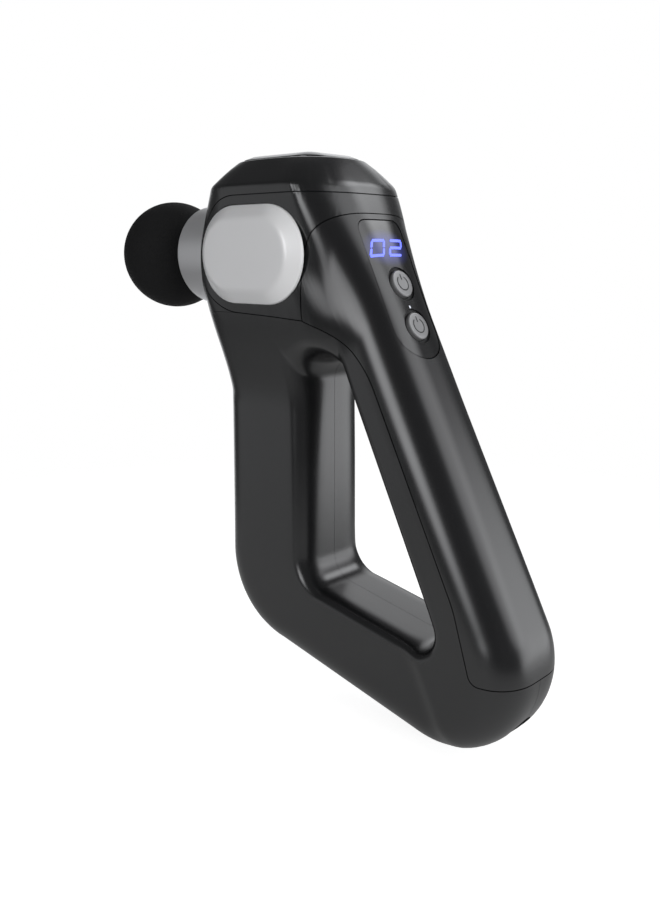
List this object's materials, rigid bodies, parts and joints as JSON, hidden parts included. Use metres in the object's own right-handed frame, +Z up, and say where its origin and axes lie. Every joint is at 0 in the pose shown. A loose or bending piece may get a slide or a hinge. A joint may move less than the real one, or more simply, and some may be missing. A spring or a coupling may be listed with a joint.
{
  "type": "massage gun",
  "caption": "Percussive massage gun with a looped D-shaped handle, a ball head on a pull-out stem, silver side caps and a rear control panel with a display and press buttons",
  "frame": {"origin": "centre of the overall box at its lowest point", "axes": "X runs from the ball (-X) to the rear handle (+X), Y across the gun, Z up along the gun as it is held upright"},
  "size_m": [0.2224, 0.0692, 0.2231],
  "materials": {
    "shell_plastic": "moulded plastic, fine satin",
    "gloss_black": "polished black plastic",
    "silver_trim": "satin silver",
    "collar_metal": "fine turned aluminium",
    "seal_rubber": "matt rubber",
    "ball_rubber": "dense matt foam rubber",
    "button_metal": "satin grey metal",
    "digit_light": "lit blue segments",
    "led_light": "small indicator lens",
    "white_plastic": "natural nylon",
    "circuit_board": "solder mask green",
    "chip_plastic": "moulded component body",
    "steel": "ground steel",
    "bright_steel": "polished steel",
    "cast_alloy": "die cast alloy",
    "dark_steel": "black zinc",
    "bronze": "sintered bronze",
    "copper_wire": "enamelled copper winding",
    "cell_wrap": "shrink film",
    "nickel": "nickel strip",
    "wire_yellow": "wire insulation",
    "wire_red": "wire insulation",
    "stem_plastic": "glass filled nylon"
  },
  "bodies": {
    "housing": {"front_hood": "shell_plastic", "head_housing": "shell_plastic", "left_frame": "shell_plastic", "right_frame": "shell_plastic", "rear_cover": "shell_plastic", "top_plate": "gloss_black", "side_cap_left": "silver_trim", "side_cap_right": "silver_trim", "nose_collar": "collar_metal", "nose_seal": "seal_rubber", "control_panel": "gloss_black", "display_digits": "digit_light", "button_rings": "chip_plastic", "status_led": "led_light", "control_board": "circuit_board", "tact_switches": "chip_plastic", "display_module": "chip_plastic", "charge_jack": "seal_rubber", "jack_pin": "bright_steel", "battery_cells": "cell_wrap", "battery_holder": "white_plastic", "battery_tabs": "nickel", "battery_board": "circuit_board", "drive_frame": "cast_alloy", "guide_bush": "bronze", "damper_pads": "seal_rubber", "drive_screws": "dark_steel", "case_screws": "dark_steel", "motor_stator": "steel", "motor_coils": "copper_wire", "shaft_bearings": "bright_steel", "driver_board": "circuit_board", "driver_parts": "chip_plastic", "phase_wires": "wire_yellow", "battery_wires": "wire_red"},
    "rotor": {"rotor_can": "dark_steel", "rotor_magnets": "nickel", "motor_shaft": "bright_steel", "crank_disc": "steel", "crank_pin": "bright_steel", "crank_roller": "bronze"},
    "rod": {"connecting_rod": "cast_alloy", "big_end_liner": "bronze", "small_end_bush": "bronze"},
    "plunger_body": {"plunger": "bright_steel", "wrist_pin": "bright_steel"},
    "massage_head": {"head_stem": "stem_plastic", "stem_rings": "seal_rubber", "massage_ball": "ball_rubber"},
    "speed_key": {"speed_button": "button_metal", "speed_actuator": "white_plastic"},
    "power_key": {"power_button": "button_metal", "power_actuator": "white_plastic"}
  },
  "joints": [
    {"name": "motor_spin", "type": "hinge", "parent": "housing", "child": "rotor", "pos_m": [0.00305, 0, 0.18412], "axis": [0, 1, 0], "continuous": true},
    {"name": "plunger_stroke", "type": "slide", "parent": "housing", "child": "plunger_body", "axis": [1, 0, 0], "range_m": [-0.005, 0.005]},
    {"name": "rod_swing", "type": "hinge", "parent": "plunger_body", "child": "rod", "pos_m": [-0.02695, 0, 0.18412], "axis": [0, 1, 0], "range_deg": [-9.6, 9.6]},
    {"name": "head_release", "type": "slide", "parent": "plunger_body", "child": "massage_head", "axis": [-1, 0, 0], "range_m": [0, 0.03]},
    {"name": "speed_press", "type": "slide", "parent": "housing", "child": "speed_key", "axis": [-0.8925, 0, -0.4511], "range_m": [0, 0.0005]},
    {"name": "power_press", "type": "slide", "parent": "housing", "child": "power_key", "axis": [-0.8925, 0, -0.4511], "range_m": [0, 0.0005]}
  ]
}
